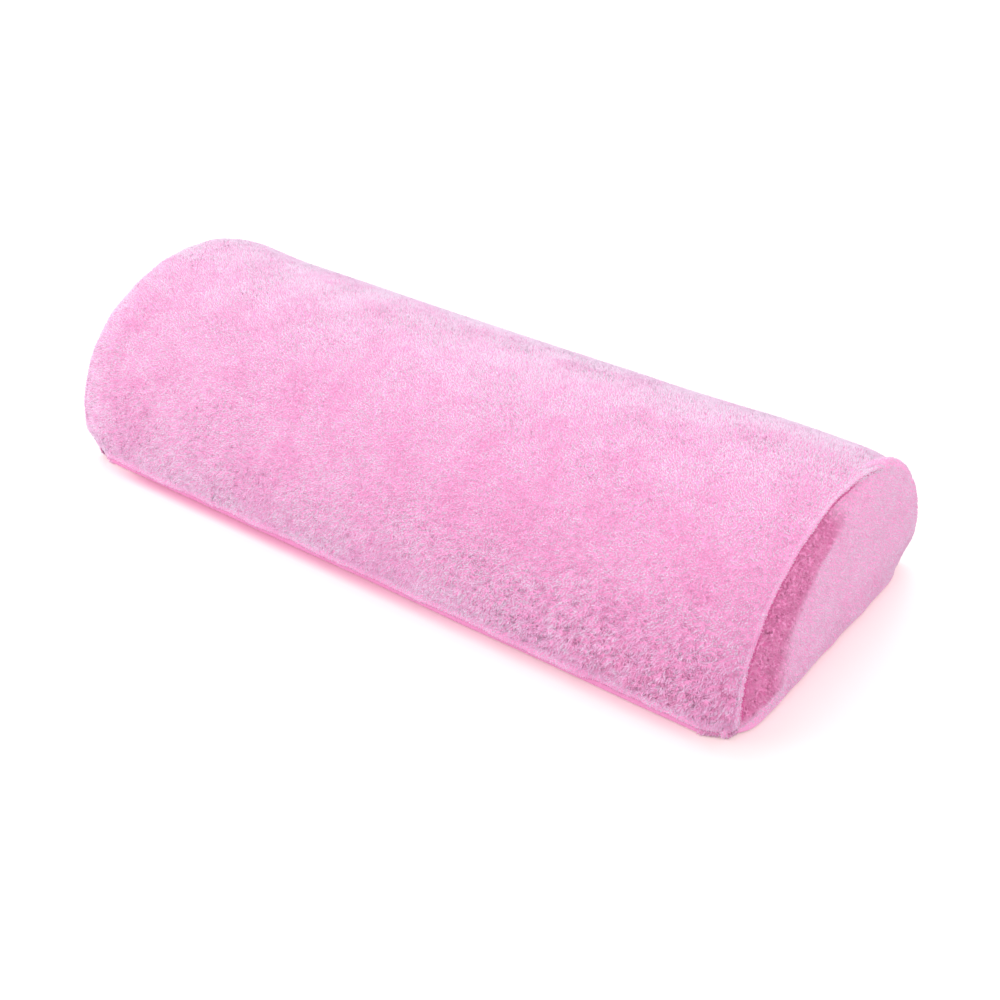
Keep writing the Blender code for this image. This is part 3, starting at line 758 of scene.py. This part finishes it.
def make_plain(name, low, high, scale, bump_depth, constants):
    """Two close tones mixed by noise on Object coordinates, which also gives a fine bump."""
    material, tree, shader = new_material(name, **constants)
    place = add_node(tree, "ShaderNodeTexCoord").outputs["Object"]
    grain = add_node(tree, "ShaderNodeTexNoise", Vector=place, Scale=scale, Detail=4.0)
    tree.links.new(mix_colours(tree, grain.outputs[0], low, high), shader.inputs["Base Color"])
    bump = add_node(tree, "ShaderNodeBump", Height=grain.outputs[0], Distance=bump_depth, Strength=0.7)
    tree.links.new(bump.outputs[0], shader.inputs["Normal"])
    return material


# The photograph's viewing angle
AIM = Vector((0.0133, 0.0, 0.0070))
AZIMUTH, ELEVATION, ROLL = math.radians(39.57), math.radians(34.00), math.radians(-2.85)
DISTANCE = 0.5782
LENS, SENSOR = 57.35, 36.0

# The floor: its reach, its colour, and the light that it shows to the camera and in
# reflections, but doesn't throw on the cushion
FLOOR_HALF = 4.0
FLOOR_COLOUR = (0.79, 0.775, 0.78, 1.0)
FLOOR_LIGHT = (1.0, 0.70, 0.57, 1.0)
FLOOR_LIFT = 0.30

# A painted shadow on the floor under the cushion's front edge, pink with the light that the
# cushion throws there. Each pair is a place along x or y where it starts and a place where it
# is full, and the last line gives where it thins out along x, and the shares that it thins out to.
PAINTED_SHADOW_COLOUR = (0.60, 0.16, 0.43, 1.0)
PAINTED_SHADOW_X = ((-0.136, -0.110), (0.142, 0.120))
PAINTED_SHADOW_Y = ((-HALF_WIDTH - 0.0045, -HALF_WIDTH + 0.002), (-HALF_WIDTH + 0.012, -HALF_WIDTH + 0.006))
PAINTED_SHADOW_THINS = (0.100, -0.060, 0.3, 1.0)

# The lamps: name, place, what it faces, width in metres and power in watts
LAMPS = (
    ("sky", (-0.20, 0.28, 0.92), (0.0, 0.02, 0.03), 0.8, 3.6),
    ("front", (-0.80, -0.80, 0.33), (0.0, 0.0, 0.03), 0.8, 5.0),
    ("side", (0.95, -0.10, 0.45), (0.1, 0.0, 0.03), 0.7, 1.3),
)
ROOM_LIGHT = 1.05


def make_camera():
    """The camera at its distance from the aim point, level but for the roll."""
    back = Vector((
        math.sin(AZIMUTH) * math.cos(ELEVATION),
        -math.cos(AZIMUTH) * math.cos(ELEVATION),
        math.sin(ELEVATION),
    ))
    right = Vector((0.0, 0.0, 1.0)).cross(back).normalized()
    up = back.cross(right)
    across = math.cos(ROLL) * right + math.sin(ROLL) * up
    upright = math.cos(ROLL) * up - math.sin(ROLL) * right
    turn = Matrix((across, upright, back)).transposed().to_4x4()
    data = bpy.data.cameras.new("camera")
    data.lens, data.sensor_width = LENS, SENSOR
    data.clip_start = 0.01
    camera = bpy.data.objects.new("camera", data)
    camera.matrix_world = Matrix.Translation(AIM + DISTANCE * back) @ turn
    bpy.context.scene.collection.objects.link(camera)
    bpy.context.scene.camera = camera


def make_floor():
    """A pale floor the camera sees as white where no shadow falls, with a painted pink shadow under
    the cushion.
    """
    material, tree, shader = new_material("floor", Roughness=0.40, IOR=1.9)
    place = add_node(tree, "ShaderNodeTexCoord").outputs["Object"]
    place = add_node(tree, "ShaderNodeSeparateXYZ", Vector=place)
    # The painted pink shadow under the cushion's front edge, by place on the floor
    painted_shadow = span(tree, place.outputs[0], *PAINTED_SHADOW_THINS)
    for axis, reaches in ((0, PAINTED_SHADOW_X), (1, PAINTED_SHADOW_Y)):
        for start, full in reaches:
            painted_shadow = times(tree, painted_shadow, span(tree, place.outputs[axis], start, full))
    colour = mix_colours(tree, painted_shadow, FLOOR_COLOUR, PAINTED_SHADOW_COLOUR)
    tree.links.new(colour, shader.inputs["Base Color"])
    path = add_node(tree, "ShaderNodeLightPath")
    seen = add_node(tree, "ShaderNodeMath", {"operation": "ADD"})
    tree.links.new(path.outputs["Is Camera Ray"], seen.inputs[0])
    tree.links.new(path.outputs["Is Glossy Ray"], seen.inputs[1])
    tree.links.new(times(tree, seen.outputs[0], FLOOR_LIFT), shader.inputs["Emission Strength"])
    shader.inputs["Emission Color"].default_value = FLOOR_LIGHT
    corners = FLOOR_HALF * np.array([(-1, -1, 0), (1, -1, 0), (1, 1, 0), (-1, 1, 0)], float)
    mesh = bpy.data.meshes.new("floor")
    mesh.from_pydata(corners.tolist(), [], [(0, 1, 2, 3)])
    mesh.materials.append(material)
    floor = bpy.data.objects.new("floor", mesh)
    bpy.context.scene.collection.objects.link(floor)


def make_lamps():
    """The large soft lamps and the even white light of the room."""
    for name, place, target, width, power in LAMPS:
        data = bpy.data.lights.new(name, "AREA")
        data.shape, data.size, data.energy = "DISK", width, power
        lamp = bpy.data.objects.new(name, data)
        facing = (Vector(target) - Vector(place)).to_track_quat("-Z", "Y")
        lamp.matrix_world = Matrix.Translation(place) @ facing.to_matrix().to_4x4()
        bpy.context.scene.collection.objects.link(lamp)
    world = bpy.data.worlds.new("room")
    world.use_nodes = True
    background = world.node_tree.nodes["Background"]
    background.inputs[0].default_value = (1.0, 1.0, 1.0, 1.0)
    background.inputs[1].default_value = ROOM_LIGHT
    bpy.context.scene.world = world


def put(piece, slot, *nodes):
    """The piece rides on the cushion and stands for CAD nodes; slot is not used."""
    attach(piece, "cushion")
    if nodes:
        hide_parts(*nodes)
    return piece


# An end panel's rim seen from its middle, to find which ring a place on the panel lies on
RIM_TABLE_V = np.linspace(0.0, ROUND_V, 2001)
RIM_Y, RIM_Z = rim_section(RIM_TABLE_V, RIM_RADIUS)
RIM_ANGLE = np.unwrap(np.arctan2(RIM_Z - CROWN / 2, RIM_Y))


def end_rings(y, z):
    """The ring share k and the metres round the section of a place on an end panel."""
    angle = np.arctan2(z - CROWN / 2, y)
    turns = np.sort(RIM_ANGLE[[0, -1]])
    angle = np.mod(angle - turns[0], 2 * np.pi) + turns[0]
    order = np.argsort(RIM_ANGLE)
    v = np.interp(angle, RIM_ANGLE[order], RIM_TABLE_V[order])
    rim = np.hypot(np.interp(v, RIM_TABLE_V, RIM_Y), np.interp(v, RIM_TABLE_V, RIM_Z) - CROWN / 2)
    return np.hypot(y, z - CROWN / 2) / rim, v


def surface_frame(surface, p, q, step=0.0003):
    """Points on a surface at places p and q, its outward normals, and its two directions there."""
    here = surface(p, q)
    along = surface(p + step, q) - surface(p - step, q)
    round_ = surface(p, q + step) - surface(p, q - step)
    along = along / np.maximum(np.linalg.norm(along, axis=1, keepdims=True), 1e-9)
    round_ = round_ / np.maximum(np.linalg.norm(round_, axis=1, keepdims=True), 1e-9)
    normal = np.cross(along, round_)
    normal /= np.maximum(np.linalg.norm(normal, axis=1, keepdims=True), 1e-9)
    return here, normal, along, round_


def plant(name, surface, p, q, pile, fibre, ruffle, material, band=0.0, pale=0.85):
    """Tufts on a surface at places p and q, leaning with the nap, in clumps and at random.

    ruffle is how strongly the tufts part and clump: 0 where they are brushed flat, 1 at most,
    and pale is the tone of flat pile, 0 for the deepest pink and 1 for the palest.
    """
    rng = np.random.default_rng(SEED + len(p))
    roots, normals, along, round_ = surface_frame(surface, p, q)
    slant_p, slant_q = (p + q) / 1.7, (q - p) / 0.9
    clump_p, clump_q = noise(slant_p, slant_q, 0.0014, 21), noise(slant_p, slant_q, 0.0014, 22)
    drift_p, drift_q = noise(p, q, 0.0120, 25), noise(p, q, 0.0120, 26)
    lean_p = 1.0 * ruffle * clump_p + 0.12 * drift_p + rng.uniform(-0.3, 0.3, len(p))
    lean_q = 1.0 * ruffle * clump_q + 0.12 * drift_q + rng.uniform(-0.3, 0.3, len(p)) - 0.1
    rise = 1.0 + 0.35 * ruffle * noise(slant_p, slant_q, 0.0013, 23)
    lengths = pile * rise * (1 + (0.1 + 0.15 * ruffle) * rng.uniform(-1.0, 1.0, len(p)))
    lean = (pile * lean_p)[:, None] * along + (pile * lean_q)[:, None] * round_
    tone = 0.4 * noise(slant_p, slant_q, 0.0016, 24) + rng.uniform(-0.3, 0.3, len(p))
    # Painted shade: the tone falls where the pile is ruffled, darkest low down and near the seams
    tone = pale - 0.35 * ruffle - 0.25 * smooth((ruffle - 0.5) / 0.4) + (0.35 + 0.65 * ruffle) * tone
    tone = tone - 0.8 * (rng.uniform(0, 1, len(p)) < 0.05 * ruffle)
    marks = {"tone": np.clip(tone, 0.0, 1.0), "band": band + 0 * tone}
    radius = fibre * (1 + 0.3 * ruffle) * rng.uniform(0.75, 1.25, len(p))
    return tufts(name, roots, normals, lengths, radius, lean, marks, material)


def ruffle_at(x, v):
    """How ruffled the wrap's pile is: smooth on top, coarser low down and near the right seam."""
    low = smooth((at_s(0.32) - v) / 0.055)
    near = smooth((x - 0.010) / 0.120) * smooth((at_s(0.24) - v) / 0.040)
    return 0.12 + 0.26 * low + 0.55 * near


def make_wrap_pile(material):
    """The pile on the wrap, in pieces from left to right."""
    reach = FOLD_X + 2.2 * LIP_RADIUS
    depth = wrap_last(0.0) - wrap_first(0.0)
    p, q = scatter(2 * reach, depth, WRAP_SPACING, 31)
    w, v = p - reach, q + wrap_first(0.0)
    above_slit = wrap_last(np.clip(w, -FOLD_X, FOLD_X)) - v
    keep = above_slit > HEM_BARE
    w, v, above_slit = w[keep], v[keep], above_slit[keep]
    ends = smooth((FOLD_X + 0.0010 - np.abs(w)) / 0.0025)
    hem = smooth((v - wrap_first(0.0) - 0.0010) / 0.005)
    hem = np.minimum(hem, smooth((above_slit - HEM_BARE) / 0.004))
    ruffle = ruffle_at(w, v)
    pile = WRAP_PILE * (0.75 + 0.25 * ruffle) * (0.55 + 0.45 * ends) * (0.35 + 0.65 * hem)
    ruffle = ruffle * (0.6 + 0.4 * ends) * (0.2 + 0.8 * hem)
    # Painted shade: tufts past the fold, on the lip's turn into the seam, are darkened into a line
    # along the end seams, but not at the back and low down
    fold = smooth((np.abs(w) - FOLD_X) / (0.4 * LIP_RADIUS) - 3.2)
    fold = fold * (1 - smooth(flush_at(v) / 0.3))
    # Painted highlight: the flat pile's tone rises from the low front up over the arch and the back
    pale = 0.82 + 0.22 * smooth((v - at_s(0.22)) / 0.045)
    for k in range(WRAP_PIECES):
        low, high = (-reach + 2 * reach * edge / WRAP_PIECES for edge in (k, k + 1))
        part = (w >= low) & (w < high)
        made = plant(
            f"pile_{k + 1}", wrap_surface, w[part], v[part], pile[part], WRAP_FIBRE,
            ruffle[part], material, fold[part], pale[part],
        )
        put(made, "terry")


def make_foot_pile(material):
    """The pile on the back foot below the zip, down to where the cushion meets the table."""
    reach = FOLD_X + 1.9 * LIP_RADIUS
    top = base_first(0.0) + HEM_BARE
    p, q = scatter(2 * reach, BASE_V - 0.002 - top, WRAP_SPACING, 32)
    w, v = p - reach, q + top
    lifted = base_surface(w, v)[:, 2] > 0.0008
    w, v, pile = w[lifted], v[lifted], 0.8 * WRAP_PILE
    put(plant("pile_back_foot", base_surface, w, v, pile, WRAP_FIBRE, 0.5, material), "terry")


def make_toe_pile(material):
    """The pile on the base panel's front corners, where its hem shows below the wrap's."""
    reach = FOLD_X + 3.0 * LIP_RADIUS
    low = BASE_END_V - 0.004
    p, q = scatter(2 * reach, base_last(0.0) - low, WRAP_SPACING, 39)
    w, v = p - reach, q + low
    corner = np.abs(w) > TIP_X - 0.014 + 0.003 * noise(w, v, 0.002, 13)
    corner &= base_surface(w, v)[:, 2] > 0.0003
    w, v = w[corner], v[corner]
    # Painted shade at the table: the toes' pile takes a band mark of 0.15 and a low tone
    made = plant("pile_toes", base_surface, w, v, 0.0007, WRAP_FIBRE, 0.6, material, 0.15, 0.7)
    put(made, "terry")


# How far the ruffled pile and its painted shade reach from an end panel's front seam, by
# height above the table
BAND_HEIGHTS = (0.000, 0.005, 0.0075, 0.010, 0.034, 0.044, 0.049, 0.053, 0.058, 0.062)
BAND_REACHES = (0.002, 0.006, 0.0120, 0.020, 0.024, 0.026, 0.034, 0.030, 0.016, 0.005)


def seam_band(y, z):
    """1 beside an end panel's front seam, ruffled pile under the lip's painted shadow; 0 past its
    reach.
    """
    front = TABLE_S <= 0.5
    edge_y, edge_z = section(TABLE_S[front], RIM_INSET)
    across = y - np.interp(z, edge_z, edge_y) + 0.0025 * layered(y, z, 0.009, 12, 2)
    reach = np.interp(z, BAND_HEIGHTS, BAND_REACHES)
    band = smooth((reach - across) / 0.010 + 0.5) * smooth((z - 0.003) / 0.006)
    # Painted shade: the mark is strongest in a thin dark line right at the seam
    return band * (0.62 + 0.38 * np.exp(-np.maximum(across, 0.0) / 0.0016))


def make_end_pile(name, side, material):
    """The shorter pile on an end panel."""
    p, q = scatter(2 * HALF_WIDTH, CROWN, END_SPACING, 33 + side)
    y, z = p - HALF_WIDTH, q
    k, v = end_rings(y, z)
    inside = k < PILE_RING + 0.025 * flush_at(v)
    y, z, k, v = y[inside], z[inside], k[inside], v[inside]
    band = seam_band(y, z)

    def face(across, up):
        share, place = end_rings(side * across, up)
        return end_face(side, share, place)

    # In the band the pile is longer and ruffled, and its band mark paints the lip's shadow on it
    pile = (END_PILE + (WRAP_PILE - END_PILE) * band) * (0.3 + 0.7 * smooth(z / 0.006))
    put(plant(name, face, side * y, z, pile, END_FIBRE, 0.1 + 0.9 * band, material, band), "terry")


def make_rim_pile(name, side, material):
    """The pile over the rolled rim of an end panel, where no lip stands in front of it."""
    p, v = scatter(0.5 * np.pi * RIM_RADIUS + 0.0015, ROUND_V, 0.8 * END_SPACING, 36 + side)
    seen = (flush_at(v) > 0.1) & (under_at(v) < 0.5)
    p, v = p[seen], v[seen]

    def rim(across, place):
        turn = np.minimum(-side * across / RIM_RADIUS, 0.5 * np.pi)
        past = -side * across - RIM_RADIUS * turn
        y, z = rim_section(place, RIM_RADIUS * (1 - np.sin(turn)) + 0.7 * past)
        x = end_face(side, 1.0, place)[:, 0] - side * (RIM_RADIUS * (1 - np.cos(turn)) + 0.7 * past)
        return np.stack([x, y, z], axis=-1)

    put(plant(name, rim, -side * p, v, 0.0004, END_FIBRE, 0.1, material), "terry")


def dress():
    """Make every piece and material of the hand rest."""
    terry = make_terry_group(make_patch_group())
    # The piles take the shade colour, painted shade, where their band mark is set
    wrap_terry = make_terry("terry_pile", terry, (DEEP, PILE, TIP, SHADE), 0.95)
    end_terry = make_terry("end_pile", terry, (DEEP, END_PILE_COLOUR, END_TIP, SHADE), 0.6)
    # The cloth is painted darker by its height of 0.45, as shade under the tufts, and takes the crease
    # colour, painted shade, in its folds and hems
    cloth = make_terry("terry_cloth", terry, (DEEP, DEEP, PILE, CREASE_SHADE), 0.6, 0.45)
    plain = {name: make_plain(name, *values) for name, values in PLAIN.items()}

    foam = put(make_foam(plain["foam_cells"]), "foam", "foam_core")
    wrap = make_sleeve_panel("wrap", wrap_first, wrap_last, 0.0010, cloth)
    base = make_sleeve_panel("base", base_first, base_last, 0.0020, cloth)
    put(wrap, "terry", "wrap_panel")
    put(base, "terry", "base_panel")
    put(make_end_panel("end_right", 1, cloth), "terry", "end_panel_right")
    put(make_end_panel("end_left", -1, cloth), "terry", "end_panel_left")
    make_wrap_pile(wrap_terry)
    make_foot_pile(wrap_terry)
    make_toe_pile(wrap_terry)
    make_end_pile("pile_end_right", 1, end_terry)
    make_end_pile("pile_end_left", -1, end_terry)
    make_rim_pile("pile_rim_right", 1, end_terry)
    make_rim_pile("pile_rim_left", -1, end_terry)
    for finish, names in (
        ("tape_weave", ("zip_tape_upper", "zip_tape_lower")),
        ("coil_nylon", ("zip_coil_upper", "zip_coil_lower", "zip_stop_closed", "zip_stop_open")),
        ("slider_nickel", ("zip_slider", "zip_pull")),
    ):
        for name in names:
            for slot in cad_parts[name].material_slots:
                slot.material = plain[finish]


make_camera()
make_floor()
make_lamps()
dress()

scene = bpy.context.scene
scene.view_settings.view_transform = "Standard"
